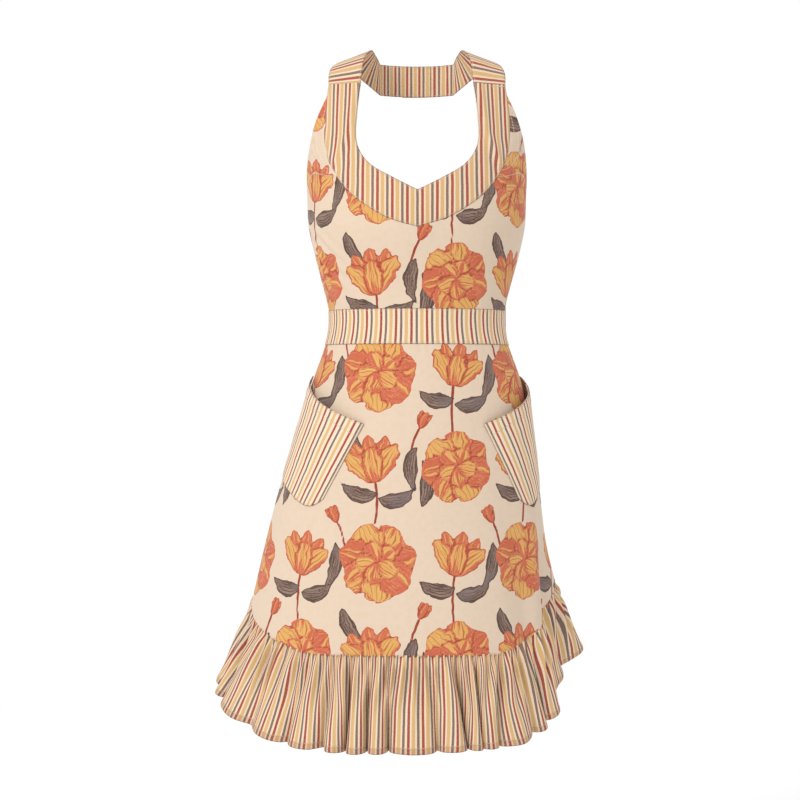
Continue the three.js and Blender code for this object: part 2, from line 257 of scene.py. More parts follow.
class Number:
    """One number in a fabric's shader, so that sums on it read as sums."""

    def __init__(self, fabric, socket):
        self.fabric = fabric
        self.socket = socket

    def math(self, operation, *others):
        sockets = dict(enumerate((self, *others)))
        node = self.fabric.node("ShaderNodeMath", {"operation": operation}, sockets)
        return Number(self.fabric, node.outputs[0])

    def __add__(self, other):
        return self.math("ADD", other)

    __radd__ = __add__

    def __sub__(self, other):
        return self.math("SUBTRACT", other)

    def __rsub__(self, other):
        return (self * -1) + other

    def __mul__(self, other):
        return self.math("MULTIPLY", other)

    __rmul__ = __mul__

    def __truediv__(self, other):
        return self.math("DIVIDE", other)

    def __abs__(self):
        return self.math("ABSOLUTE")

    def step(self, low, high):
        """Smooth step from 0 at low to 1 at high."""
        sockets = {"Value": self, "From Min": low, "From Max": high}
        node = self.fabric.node("ShaderNodeMapRange", {"interpolation_type": "SMOOTHSTEP"}, sockets)
        return Number(self.fabric, node.outputs[0])

    def inside(self, half, soft):
        """1 where the number lies within half of 0, with soft edges."""
        return 1 - abs(self).step(half - soft, half + soft)


def tint(red, green, blue):
    """A colour from its eight-bit screen values under the light, which is a little brighter than white."""
    return tuple(0.755 * ((c / 255 + 0.055) / 1.055) ** 2.4 for c in (red, green, blue)) + (1.0,)


class Fabric:
    """A woven cotton: its material, and the few nodes that every cotton here has."""

    def __init__(self, name, roughness=0.88):
        self.material = bpy.data.materials.new(name)
        self.material.use_nodes = True
        self.tree = self.material.node_tree
        self.shader = self.tree.nodes["Principled BSDF"]
        self.shader.inputs["Roughness"].default_value = roughness
        self.shader.inputs["Specular IOR Level"].default_value = 0.25
        self.shader.inputs["Sheen Weight"].default_value = 0.12
        self.shader.inputs["Sheen Roughness"].default_value = 0.5
        self.flat = self.node("ShaderNodeUVMap", {"uv_map": "cloth"}, {}).outputs["UV"]
        parts = self.node("ShaderNodeSeparateXYZ", {}, {"Vector": self.flat})
        self.along = Number(self, parts.outputs["X"])
        self.across = Number(self, parts.outputs["Y"])

    def node(self, kind, settings, sockets):
        node = self.tree.nodes.new(kind)
        for name, value in settings.items():
            setattr(node, name, value)
        for name, value in sockets.items():
            value = value.socket if isinstance(value, Number) else value
            if isinstance(value, bpy.types.NodeSocket):
                self.tree.links.new(value, node.inputs[name])
            else:
                node.inputs[name].default_value = value
        return node

    def mark(self, name):
        node = self.node("ShaderNodeAttribute", {"attribute_name": name}, {})
        return Number(self, node.outputs["Fac"])

    def noise(self, scale, detail=2.0, stretch=(1, 1, 1)):
        """Noise between 0 and 1 on the flat cloth, scale bumps to the metre."""
        place = self.node("ShaderNodeMapping", {}, {"Vector": self.flat, "Scale": stretch})
        sockets = {"Vector": place.outputs[0], "Scale": scale, "Detail": detail}
        return Number(self, self.node("ShaderNodeTexNoise", {}, sockets).outputs["Fac"])

    def streaks(self, across, along, detail=2.0):
        """Noise between 0 and 1 in the plane of two numbers, one bump to each unit."""
        place = self.node("ShaderNodeCombineXYZ", {}, {"X": across, "Y": along})
        sockets = {"Vector": place.outputs[0], "Scale": 1.0, "Detail": detail}
        return Number(self, self.node("ShaderNodeTexNoise", {}, sockets).outputs["Fac"])

    def mix(self, share, start, end):
        sockets = {0: share, 6: start, 7: end}
        return self.node("ShaderNodeMix", {"data_type": "RGBA"}, sockets).outputs[2]

    def finish(self, colour, height, depth=0.0004):
        """Adds the weave and its bump to a colour, and joins both to the shader."""
        warp = self.noise(700, 1.0, (1, 0.06, 1))
        weft = self.noise(700, 1.0, (0.06, 1, 1))
        weave = (warp + weft) / 2
        blotch = self.noise(26, 3.0)
        shade = (weave - 0.5) * 0.34 + (blotch - 0.5) * 0.16
        light = self.mix(shade.step(0.0, 0.2), colour, (1, 0.97, 0.92, 1))
        tinted = self.mix(shade.step(0.0, 0.2) * 0.16, colour, light)
        dark = self.mix((0 - shade).step(0.0, 0.2) * 0.14, tinted, (0.10, 0.06, 0.04, 1))
        bump = self.node(
            "ShaderNodeBump",
            {},
            {"Height": height + weave * 0.3, "Distance": depth, "Strength": 0.6},
        )
        self.tree.links.new(dark, self.shader.inputs["Base Color"])
        self.tree.links.new(bump.outputs[0], self.shader.inputs["Normal"])
        return self

    def stitches(self, rim, rows, run):
        """Share of thread, and of the groove it pulls, for rows of stitches these distances from an edge."""
        dash = (run / 0.0031).math("FRACT") - 0.5
        thread, groove = None, None
        for row in rows:
            one = (rim - row).inside(0.00035, 0.00015) * dash.inside(0.36, 0.06)
            dip = (rim - row).inside(0.0009, 0.0007)
            thread = one if thread is None else thread.math("MAXIMUM", one)
            groove = dip if groove is None else groove.math("MAXIMUM", dip)
        return thread, groove


# The trim is yarn-dyed cotton: grey, ochre and red stripes on cream, each with its middle, width and dye.
stripe_repeat = 0.0212
cream = tint(249, 229, 204)
stripe_lines = (
    (0.0, 0.0037, tint(122, 104, 94)),
    (0.0070, 0.0052, tint(224, 185, 124)),
    (0.0141, 0.0039, tint(168, 66, 48)),
)


def striped(name, stitch_rows, mouth_row=None, shaded_hem_depth=0.0, bold=1.0, tone=0.0):
    """Striped cotton with rows of stitches near its edge. Painted shade darkens a two-layer hem, and tone
    adds brown as painted shade.
    """
    fabric = Fabric(name)
    rim = fabric.mark("rim")
    wander = (fabric.noise(90, 2.0) - 0.5) * 0.0006
    place = ((fabric.along + wander) / stripe_repeat).math("FRACT") * stripe_repeat
    yarn = fabric.noise(420, 2.0)
    colour = fabric.mix(yarn.step(0.35, 0.75) * 0.5, cream, tint(240, 212, 180))
    for middle, width, dye in stripe_lines:
        offset = place - middle
        if middle == 0:
            offset = offset.math("PINGPONG", stripe_repeat / 2)
        line = offset.inside(bold * width / 2, 0.00035) * (0.82 + yarn * 0.3).math("MINIMUM", 1.0)
        colour = fabric.mix(line, colour, dye)
    # Painted shade: a brown wash over the whole piece, strongest on the neckline band and straps, which sit
    # most in shade.
    colour = fabric.mix(tone, colour, tint(186, 128, 88))
    # Painted shade along the two-layer hem, which lets less light through than one layer.
    if shaded_hem_depth:
        layers = 1 - rim.step(shaded_hem_depth - 0.0004, shaded_hem_depth + 0.0004)
        colour = fabric.mix(layers * 0.3, colour, tint(150, 84, 44))
    # Painted shade: a thin dark line along every edge, for the shadow beside a turned edge.
    colour = fabric.mix((1 - rim.step(0.0003, 0.0013)) * 0.45, colour, tint(120, 66, 44))
    thread, groove = fabric.stitches(rim, stitch_rows, fabric.along + fabric.across)
    if mouth_row:
        mouth_thread, mouth_groove = fabric.stitches(fabric.across, (mouth_row,), fabric.along)
        thread, groove = thread.math("MAXIMUM", mouth_thread), groove.math("MAXIMUM", mouth_groove)
    # Painted shade in the grooves that the stitches pull. The thread itself is lighter.
    colour = fabric.mix(groove * 0.16, colour, tint(150, 100, 70))
    colour = fabric.mix(thread * 0.55, colour, tint(244, 226, 202))
    return fabric.finish(colour, thread * 0.6 - groove * 0.9)


# Facings are plain cream cotton. So is the wrong side of the trim, with its stripes showing through faintly.
def plain(name, colour, ghost=0.0):
    fabric = Fabric(name)
    place = (fabric.along / stripe_repeat).math("FRACT") - 0.5
    faint = place.inside(0.16, 0.05) * ghost
    shown = fabric.mix(faint, colour, tint(205, 160, 130))
    thread, groove = fabric.stitches(fabric.mark("rim"), (0.0022,), fabric.along)
    shown = fabric.mix(thread * 0.5, shown, tint(250, 238, 220))
    return fabric.finish(shown, thread * 0.6 - groove * 0.7)


wrong_side = plain("striped_cotton_wrong_side", tint(238, 211, 184), 0.35)
lining = plain("plain_cotton_facing", tint(243, 221, 196))


def smooth_line(knots, shares):
    """Points on a smooth curve through the knots, at shares from 0 to 1 of its length in knots."""
    knots = np.asarray(knots, float)
    last = len(knots) - 1
    spot = np.clip(shares, 0, 1) * last
    i = np.minimum(spot.astype(int), last - 1)
    t = (spot - i)[:, None]
    before, start, end, after = (knots[np.clip(i + k, 0, last)] for k in (-1, 0, 1, 2))
    leave, arrive = (end - before) / 2, (after - start) / 2
    return (
        (2 * start - 2 * end + leave + arrive) * t**3
        + (3 * end - 3 * start - 2 * leave - arrive) * t**2
        + leave * t
        + start
    )


band_edge = (band_high.z - band_low.z) / 2
neck_outer = np.array([(0, 136), (48, 152), (96, 188), (124, 234), (130, 286), (124, 342)]) / 1000
neck_inner = np.array([(0, 187), (34, 204), (67, 226), (84, 256), (84, 300), (79, 342)]) / 1000


neck_band_width = 0.049


def neck_place(u, v):
    """Angle and height between the band's outer edge, at v = 0, and its inner edge, at v = 1."""
    way = 2 * u - 1
    edge = smooth_line(neck_outer, abs(way))
    place = lerp(edge, smooth_line(neck_inner, abs(way)), np.reshape(v, (-1, 1)))
    _, right, _, _ = sizes_at(place[:, 1])
    return np.degrees(np.arcsin(place[:, 0] / right)) * np.sign(way), place[:, 1]


def rolled(distance, width=0.0016, drop=0.0007):
    """Lift of a turned edge: the cloth curls down over its last millimetres."""
    return -drop * (1 - ease(distance, 0, width))


def past_crease(across, height):
    """Distance outwards from the soft crease where each side of the band turns up towards its strap."""
    line = np.interp(height, (0.205, 0.215, 0.269, 0.324, 0.345), (0.127, 0.1206, 0.0972, 0.0875, 0.0850))
    return (abs(across) - line) * 0.92


def neck_surface(lift):
    def place(u, v):
        angle, height = neck_place(u, v)
        edge = np.minimum(v, 1 - v) * neck_band_width
        wave = 0.0005 * rough(u * 40, v * 3, 12)
        past = past_crease(figure_point(angle, height)[:, 0], height)
        crease = 0.0022 * np.exp(-((past / 0.005) ** 2)) - 0.0012 * np.exp(-(((past + 0.009) / 0.006) ** 2))
        return on_figure(angle, height, lift + rolled(edge) + wave + crease * ease(edge, 0, 0.01))

    return place


def neck_flat(u, v):
    angle, height = neck_place(u, v)
    across = figure_point(angle, height)[:, 0]
    turned = 0.24 * np.maximum(past_crease(across, height), 0)
    return -(across * 1.04 + turned * np.sign(across)), height


def band_rim(width):
    return lambda u, v: np.minimum(v, 1 - v) * width


neck_stripes = striped("striped_cotton_neckline", (0.0020,), tone=0.15)
neck_rim = band_rim(neck_band_width)
neckline_band = sheet_of_cloth(
    "neckline_band_cloth", 300, 22, neck_surface(0.0024), neck_flat, neck_rim, neck_stripes, wrong_side
)
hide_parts("neckline_band")

neckline_facing = sheet_of_cloth(
    "neckline_facing_cloth", 200, 14, neck_surface(-0.0006), neck_flat, neck_rim, lining
)
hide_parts("neckline_facing")


# -------------------------------------------------------------------------------- bib
# The printed bib fills the front from the waistband to the neckline band and curves round under the arms. Its
# side edges are turned in twice and stitched.

# The print is a plain half-drop garden pattern: round open blooms and cupped ones on thin stems, with curved
# leaves. It repeats every 220 by 260 millimetres. Each point of the cloth gets its distance from the petals,
# leaves and stems.
print_repeat = np.array((0.220, 0.260))
stem_half = 1.7


# A bloom is a base point in millimetres, a tip shape from pointed (low) to round (high), and its petals from
# the back forwards, each with its direction, length, width, bend and share of ochre.
def open_bloom(base, size, turn):
    """A round bloom seen from the front: seven even petals, with five shorter ones over them."""
    outer = [(turn + 360 / 7 * k, size, size * 0.90, 0.0, (0.15, 0.45, 0.70)[k % 3]) for k in range(7)]
    inner = [(turn + 26 + 72 * k, size * 0.55, size * 0.52, 0.0, (0.60, 0.30)[k % 2]) for k in range(5)]
    return base, 2.6, outer + inner


def cupped_bloom(base, size, turn):
    """A bloom seen from the side: three petals behind, one at each side, and one in front."""
    behind = [(turn + lean, size, size * 0.46, 0.0, 0.20) for lean in (-24, 24, 0)]
    sides = [(turn + 34 * way, size * 0.92, size * 0.50, 0.10 * way, 0.65) for way in (-1, 1)]
    return base, 1.7, [*behind, *sides, (turn, size * 0.74, size * 0.52, 0.0, 0.40)]


def bud(base, size, turn):
    return base, 1.6, [(turn + lean, size, size * 0.50, 0.0, 0.30) for lean in (-16, 16, 0)]


def arc(base, direction, length, bend):
    """Seven points along an arc that leaves the base in one direction and bends to another, in degrees."""
    turn = np.radians(direction + bend * np.linspace(0, 1, 7))
    steps = np.stack([np.cos(turn), np.sin(turn)], -1) * length / 6
    return np.array(base) + np.cumsum(steps, axis=0) - steps[0]


def leaf(base, direction, length, bend, half=10):
    """A curved leaf, broadest a little below its middle. The third number at each point is its half width."""
    half_widths = 1 + half * np.sin(math.pi * np.linspace(0, 1, 7) ** 0.8)
    return np.column_stack([arc(base, direction, length, bend), half_widths])


def stem(base, direction, length, bend):
    return np.column_stack([arc(base, direction, length, bend), np.full(7, stem_half)])


blooms = (
    open_bloom((-55, -65), 55, 12),
    open_bloom((55, -195), 51, 38),
    cupped_bloom((50, -84), 62, 78),
    cupped_bloom((-58, -216), 66, 100),
    bud((2, -142), 26, 62),
    bud((108, -12), 26, 118),
)
leaves = (
    leaf((-56, -232), 205, 56, -70),
    leaf((-54, -238), -30, 54, 75),
    leaf((50, -100), 215, 52, -80),
    leaf((53, -108), -25, 52, 70),
    leaf((-2, -168), 235, 62, 60, 9),
    leaf((6, -250), 60, 66, 50, 9),
    leaf((106, -40), 285, 66, -50, 9),
    leaf((-104, -128), 270, 62, 60, 9),
)
stems = (
    stem((50, -84), 262, 64, 12),
    stem((-58, -216), 280, 56, -18),
    stem((2, -142), 240, 62, 30),
    stem((108, -12), 300, 60, -30),
)


def nearest_copy(points, centre):
    """Each point as seen from the nearest repeat of a motif centred there."""
    return (points - centre + print_repeat / 2) % print_repeat - print_repeat / 2


def stroke(points, knots):
    """Distance from a leaf or stem, and the place across it from -1 to 1 and along it in metres."""
    line = smooth_line(knots, np.linspace(0, 1, 150)) / 1000
    runs = np.linspace(0, np.linalg.norm(np.diff(line[:, :2], axis=0), axis=1).sum(), len(line))
    centre = line[:, :2].mean(0)
    seen = nearest_copy(points, centre)
    near = np.empty(len(points), int)
    gap = np.empty(len(points))
    for part in np.array_split(np.arange(len(points)), max(1, len(points) // 8000)):
        distances = np.linalg.norm(seen[part, None] - (line[:, :2] - centre)[None], axis=2)
        near[part] = distances.argmin(1)
        gap[part] = distances.min(1)
    tangent = unit(np.gradient(line[:, :2], axis=0))
    offset = seen - (line[:, :2] - centre)[near]
    side = tangent[near, 0] * offset[:, 1] - tangent[near, 1] * offset[:, 0]
    half = line[near, 2]
    return gap - half, side / (half + 0.001), runs[near]


def floral(flat):
    """The marks of the printed cloth at flat places in metres."""
    points = np.stack(flat, -1)
    count = len(points)
    marks = {name: np.full(count, 0.05) for name in ("petal", "outline", "leaf", "stem")}
    marks.update({name: np.zeros(count) for name in ("vein", "petal_run", "ochre", "leaf_side", "leaf_run")})
    wobble = np.stack([rough(points[:, i] * 130 + 7, points[:, 1 - i] * 130, 21 + i) for i in (0, 1)], -1)
    for knots in stems:
        distance, _, _ = stroke(points + 0.0008 * wobble, knots)
        marks["stem"] = np.minimum(marks["stem"], distance)
    for knots in leaves:
        distance, side, run = stroke(points + 0.0013 * wobble, knots)
        distance = distance + 0.0007 * rough(points[:, 0] * 260, points[:, 1] * 260, 23)
        over = distance < marks["leaf"]
        marks["leaf"] = np.where(over, distance, marks["leaf"])
        marks["leaf_side"] = np.where(over, side, marks["leaf_side"])
        marks["leaf_run"] = np.where(over, run, marks["leaf_run"])
    for base, tip, petals in blooms:
        seen = nearest_copy(points + 0.0013 * wobble, np.array(base) / 1000)
        for index, (direction, length, width, bend, ochre) in enumerate(petals):
            length, width = length / 1000, width / 1000
            axis = np.array((math.cos(math.radians(direction)), math.sin(math.radians(direction))))
            share = seen @ axis / length
            across = seen @ np.array((-axis[1], axis[0])) - bend * length * share**2
            kept = np.clip(share, 0, 1)
            half = width / 1.34 * kept**0.55 * (1 - kept**tip) ** 0.62
            frill = 0.040 * np.sin(kept * 19 + 2 * index + across * 60)
            frill = frill + 0.022 * np.sin(kept * 43 + 3 * index)
            half = half + width * frill * ease(kept, 0.2, 0.7) * (1 - ease(kept, 0.93, 1))
            distance = np.maximum.reduce([abs(across) - half, -share * length, (share - 1) * length])
            inside = distance < 0
            vein = across / (half + 0.003)
            middle = 0.16 * (1 - abs(vein)) - 0.30 * (1 - ease(kept, 0.05, 0.45)) - 0.10 * ease(kept, 0.85, 1)
            marks["petal"] = np.minimum(marks["petal"], distance)
            marks["outline"] = np.where(inside, -distance, np.minimum(marks["outline"], distance))
            marks["vein"] = np.where(inside, vein + 3 * index, marks["vein"])
            marks["petal_run"] = np.where(inside, kept * length, marks["petal_run"])
            marks["ochre"] = np.where(inside, ochre + middle, marks["ochre"])
    return marks


def printed(name, strength=1.0):
    """Printed cotton. A weaker strength gives its wrong side, where the dye shows through the cloth."""
    fabric = Fabric(name)
    ground, ochre = tint(230, 207, 183), tint(231, 180, 107)
    coral, deep = tint(207, 107, 76), tint(156, 60, 42)
    grey, slate, stalk = tint(162, 134, 120), tint(90, 68, 58), tint(162, 72, 54)
    grain = fabric.noise(330, 3.0)
    patch = fabric.noise(120, 2.0)
    ragged = (grain - 0.5) * 0.0018
    colour = fabric.mix(patch.step(0.4, 0.7) * 0.35, ground, tint(224, 198, 171))

    stem = 1 - (fabric.mark("stem") + ragged * 0.3).step(-0.0003, 0.0003)
    colour = fabric.mix(stem, colour, fabric.mix(patch.step(0.42, 0.58), stalk, deep))

    side, run, leaf = fabric.mark("leaf_side"), fabric.mark("leaf_run"), fabric.mark("leaf")
    hatch = fabric.streaks(side * 10, run * 26 + 5, 1.5)
    leaf_colour = fabric.mix((hatch + (grain - 0.5) * 0.35).step(0.40, 0.60) * 0.85, slate, grey)
    leaf_colour = fabric.mix(fabric.noise(24, 1.0).step(0.54, 0.64) * 0.4, leaf_colour, tint(126, 113, 114))
    leaf_colour = fabric.mix((leaf + ragged).step(-0.0022, -0.0011), leaf_colour, slate)
    leaf_mask = 1 - (leaf + ragged * 0.6).step(-0.0003, 0.0003)
    colour = fabric.mix(leaf_mask, colour, leaf_colour)

    vein, length = fabric.mark("vein"), fabric.mark("petal_run")
    broad = fabric.streaks(vein * 2.6, length * 15, 1.0)
    fine = fabric.streaks(vein * 9, length * 45, 3.0)
    tone = fabric.mark("ochre") + (broad - 0.5) * 2.2 + (fine - 0.5) * 1.3
    rim = (fabric.mark("outline") + (fine - 0.5) * 0.006).step(0.0014, 0.0030)
    yellow = tone.step(0.44, 0.50) * rim
    pink = fabric.mix((fine + (grain - 0.5) * 0.7).step(0.52, 0.60) * 0.6, coral, tint(228, 138, 106))
    petal_colour = fabric.mix(yellow, pink, fabric.mix(fine.step(0.3, 0.7), ochre, tint(224, 166, 93)))
    lines = ((vein * 3.1 + (broad - 0.5) * 1.6).math("FRACT") - 0.5).inside(0.075, 0.05)
    petal_colour = fabric.mix(lines * (0.35 + yellow * 0.35) * fine.step(0.34, 0.46), petal_colour, deep)
    edge = 1 - (fabric.mark("outline") + ragged * 0.7).step(0.0007, 0.0016)
    petal_colour = fabric.mix(edge * 0.7, petal_colour, deep)
    petal_mask = 1 - (fabric.mark("petal") + ragged * 0.6).step(-0.0003, 0.0003)
    colour = fabric.mix(petal_mask, colour, petal_colour)

    if strength < 1:
        colour = fabric.mix(1 - strength, colour, tint(232, 211, 188))
    thread, groove = fabric.stitches(fabric.mark("rim"), (0.0022, 0.0085), fabric.along + fabric.across)
    # Painted shade in the grooves that the stitches pull. The thread itself is lighter.
    colour = fabric.mix(groove * 0.14, colour, tint(170, 120, 90))
    colour = fabric.mix(thread * 0.5, colour, tint(246, 230, 208))
    return fabric.finish(colour, thread * 0.6 - groove * 0.8)


floral_cotton = printed("floral_cotton")
floral_wrong_side = printed("floral_cotton_wrong_side", 0.34)


bib_wrap = 90
armhole_turns = np.array([(0,), (8,), (16,), (22,), (19,), (10,), (0,)], float)


def bib_place(u, v):
    way = 2 * u - 1
    top_angle, top_height = neck_place(u, np.full(len(u), 0.10))
    angle = lerp(bib_wrap * way, top_angle, v) + smooth_line(armhole_turns, v)[:, 0] * way
    return angle, lerp(band_edge - 0.006, top_height, v)


def bib_flat(u, v):
    angle, height = bib_place(u, v)
    return way_round(angle, height), height


def bib_rim(u, v):
    angle, height = bib_place(u, v)
    edge_angle, _ = bib_place(np.where(u < 0.5, 0.0, 1.0), v)
    return abs(way_round(edge_angle, height) - way_round(angle, height))


def hem(distance, width=0.010):
    """Lift of a hem: the double layer stands a little proud, and dips where it is stitched."""
    return 0.0005 * (1 - ease(distance, width * 0.8, width)) + rolled(distance, 0.0012, 0.0005)


bib = sheet_of_cloth(
    "bib_cloth",
    170,
    132,
    lambda u, v: on_figure(*bib_place(u, v), 0.0012 + hem(bib_rim(u, v))),
    bib_flat,
    bib_rim,
    floral_cotton,
    floral_wrong_side,
    lambda u, v: floral(bib_flat(u, v)),
)
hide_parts("bib")


# -------------------------------------------------------------------------------- neck straps
# Striped straps are seamed to the neckline band, with their stripes across. They pass over the shoulders and
# meet upright at the nape, where the right one laps over the left, held by hook-and-loop tape.
nape_radius, nape_turn, nape_height = 0.080, 41.4, 0.361
strap_width, strap_lap = 0.045, 0.020
nape_x = nape_radius * math.sin(math.radians(nape_turn))
nape_y = -figure_middle - nape_radius + nape_radius * math.cos(math.radians(nape_turn))


def strap_edge(v_at_seam, middle):
    """One edge of the left strap, from the seam over the shoulder to the nape."""
    angle, height = neck_place(np.zeros(1), np.full(1, v_at_seam))
    return np.vstack([on_figure(angle, height - 0.004, 0.0008), middle])


neck_side = strap_edge(1.0, [(-0.075, -0.030, 0.378), (-0.065, 0.002, 0.397), (-0.058, 0.031, 0.393),
                             (-nape_x, nape_y, nape_height + strap_width / 2)])
shoulder_side = strap_edge(0.0, [(-0.120, -0.022, 0.361), (-0.106, 0.004, 0.376), (-0.077, 0.032, 0.357),
                                 (-nape_x, nape_y, nape_height - strap_width / 2)])


def over_shoulder(u, v):
    round_top = 0.005 * np.sin(math.pi * np.minimum(u / 0.55, 1)) * v
    flat = lerp(smooth_line(neck_side, u), smooth_line(shoulder_side, u), np.reshape(v, (-1, 1)))
    return flat + np.stack([-0.6 * round_top, 0 * u, 0.8 * round_top], -1)


def round_nape(turn, v, lift=0.0):
    """The upright part at the nape, at an angle in degrees from the centre back towards +X."""
    radius, turn = nape_radius + lift, np.radians(turn)
    height = nape_height + strap_width * (0.5 - v)
    return np.stack([radius * np.sin(turn), -figure_middle - nape_radius + radius * np.cos(turn), height], -1)


def lifted(surface, lift):
    """The surface raised along its own normal."""
    def place(u, v):
        small = 0.002
        along = surface(np.minimum(u + small, 1), v) - surface(np.maximum(u - small, 0), v)
        up = surface(u, np.minimum(v + small, 1)) - surface(u, np.maximum(v - small, 0))
        return surface(u, v) + unit(np.cross(along, up)) * np.reshape(lift(u, v), (-1, 1))

    return place


def mirrored(surface):
    return lambda u, v: surface(1 - u, v) * np.array((-1, 1, 1))


def left_strap(u, v):
    share = 0.62
    lap_turn = math.degrees(strap_lap / nape_radius)
    first = over_shoulder(np.minimum(u / share, 1), v)
    second = round_nape(lerp(-nape_turn, lap_turn, np.maximum(u - share, 0) / (1 - share)), v)
    return np.where((u < share)[:, None], first, second)


def right_end(u, v):
    lap_turn = -math.degrees(strap_lap / nape_radius)
    turn = lerp(lap_turn, nape_turn - 0.4, u)
    lift = 0.0043 * ease(-turn, -nape_turn + 1, -lap_turn - 3)
    return round_nape(turn, v, lift)


def strap_lift(u, v):
    return 0.0013 + rolled(np.minimum(v, 1 - v) * strap_width) + 0.0004 * rough(u * 30, v * 3, 4)


strap_stripes = striped("striped_cotton_straps", (0.0020,), tone=0.15)
strap_pieces = (
    ("neck_strap_left", left_strap, 110, 0.245, "apron", "neckline_band_cloth", 0.0),
    ("neck_strap_right", mirrored(over_shoulder), 70, 0.150, "apron", "neckline_band_cloth", 0.004),
    ("neck_strap_end", right_end, 44, 0.078, "strap_end", "neck_strap_right_cloth", 0.010),
)
for name, surface, columns, length, body, held_by, start in strap_pieces:
    strap = sheet_of_cloth(
        name + "_cloth",
        columns,
        18,
        lifted(surface, strap_lift),
        lambda u, v, length=length, start=start: (u * length + start, v * strap_width),
        band_rim(strap_width),
        strap_stripes,
        body=body,
    )
    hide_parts(name)


# -------------------------------------------------------------------------------- fastening tape
# Two short lengths of hook-and-loop tape are sewn on: soft loops outside the left strap, and stiff hooks
# inside the right one's end.
def tape(name, bumps):
    fabric = Fabric(name, 0.7)
    pile = fabric.noise(bumps, 3.0)
    colour = fabric.mix(pile.step(0.35, 0.65), tint(214, 208, 198), tint(246, 243, 236))
    thread, groove = fabric.stitches(fabric.mark("rim"), (0.0018,), fabric.along)
    return fabric.finish(fabric.mix(thread, colour, tint(252, 250, 246)), pile * 2.0 - groove, depth=0.0006)


tape_length, tape_width = 0.032, 0.034
tape_turn = math.degrees(tape_length / 2 / nape_radius)


def tape_rim(u, v):
    return np.minimum(np.minimum(u, 1 - u) * tape_length, np.minimum(v, 1 - v) * tape_width)


for name, lift, body, bumps in (("loop_tape", 0.0026, "apron", 900), ("hook_tape", 0.0039, "strap_end", 600)):
    strip = sheet_of_cloth(
        name + "_strip",
        26,
        26,
        lambda u, v, lift=lift: round_nape(lerp(-tape_turn, tape_turn, u), lerp(0.12, 0.88, v), lift),
        lambda u, v: (u * tape_length, v * tape_width),
        tape_rim,
        tape(name + "_pile", bumps),
        body=body,
    )
    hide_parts(name)
    held_by = "neck_strap_left_cloth" if name == "loop_tape" else "neck_strap_end_cloth"


# -------------------------------------------------------------------------------- waistband
# A straight striped band is stitched over the bib's lower edge and the skirt's upper edge. A facing of plain
# cotton closes it inside.
waist_wrap = 130
waist_stripes = striped("striped_cotton_waistband", (0.0022,), bold=0.86, tone=0.05)


def waist_surface(lift, half_height):
    def place(u, v):
        edge = np.minimum(v, 1 - v) * 2 * band_edge
        wave = 0.0005 * rough(u * 60, v * 2.5, 14) * ease(edge, 0.0, 0.006)
        height = lerp(-half_height, half_height, v)
        return on_figure(lerp(-waist_wrap, waist_wrap, u), height, lift + rolled(edge) + wave)

    return place


def waist_flat(u, v):
    angle = lerp(-waist_wrap, waist_wrap, u)
    return way_round(angle, np.zeros(len(u))) + 0.0008, v * 2 * band_edge


waistband = sheet_of_cloth(
    "waistband_cloth",
    230,
    24,
    waist_surface(0.0026, band_edge + 0.001),
    waist_flat,
    band_rim(0.050),
    waist_stripes,
    wrong_side,
)
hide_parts("waistband")

waistband_facing = sheet_of_cloth(
    "waistband_facing_cloth", 150, 14, waist_surface(-0.0006, band_edge), waist_flat, band_rim(0.048), lining
)
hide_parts("waistband_facing")


# -------------------------------------------------------------------------------- ties and bow
# A striped tie runs from each end of the waistband to the centre back. There they are gathered and tied in a
# knot, with two loops and two long hanging tails.
waist_half_width, waist_back = 0.124, 0.092  # from the middle of the figure
layer, clearance = 0.0014, 0.0003
sash_width = 0.046
knot_half_width, knot_half_height, knot_round = 0.017, 0.015, 0.012
knot_middle = waist_back + layer + clearance + knot_round
loop_opening = 0.032
tail_length, tail_top, tail_apart = 0.360, 0.006, 0.008
sash_stripes = striped("striped_cotton_sash", (0.0020,))


def gathers(u, v, start, deep):
    """Folds along a sash that deepen towards the knot, which lies at u = 1."""
    return deep * ease(u, start, 1.0) * np.cos(v * math.pi * 7 + 0.8 * np.sin(u * 9))


def tie_right(u, v):
    start = waist_wrap + math.degrees(clearance / waist_back)
    end = 180 - math.degrees(2 * clearance / waist_half_width)
    half = lerp(band_edge, knot_half_height * 0.8, ease(u, 0.35, 1))
    lift = 0.0010 + gathers(u, v, 0.3, 0.0014)
    return on_figure(lerp(start, end, u), lerp(-half, half, v), lift)


def bow_loop(reach, lean):
    """A loop of the bow on the right: out of the knot along the back of the waist, round, and in again."""
    start = knot_half_width - 2 * clearance
    near = waist_back + 2 * layer + clearance
    far = near + loop_opening
    path = [
        (start, knot_middle - 0.005),
        (start + reach * 0.3, near),
        (start + reach * 0.75, near),
        (start + reach, (near + far) / 2),
        (start + reach * 0.75, far),
        (start + reach * 0.3, far - 0.003),
        (start, knot_middle + 0.005),
    ]

    def place(u, v):
        spot = smooth_line(path, u)
        away = (spot[:, 0] - start) / reach
        half = lerp(knot_half_height * 0.6, band_edge - 0.002, ease(away, 0, 0.5))
        fold = gathers(1 - np.clip(away, 0, 1), v, 0.25, 0.0022)
        belly = 0.003 * np.sin(math.pi * v) * ease(away, 0.3, 0.8) * np.where(u < 0.5, 0.0, 1.0)
        return np.stack([spot[:, 0], spot[:, 1] + fold + belly, away * lean + lerp(-half, half, v)], -1)

    return place


def tail_gone(v):
    """How far down a tail a row lies. Rows are closer together near the knot."""
    return (1 - v) ** 1.4 * tail_length


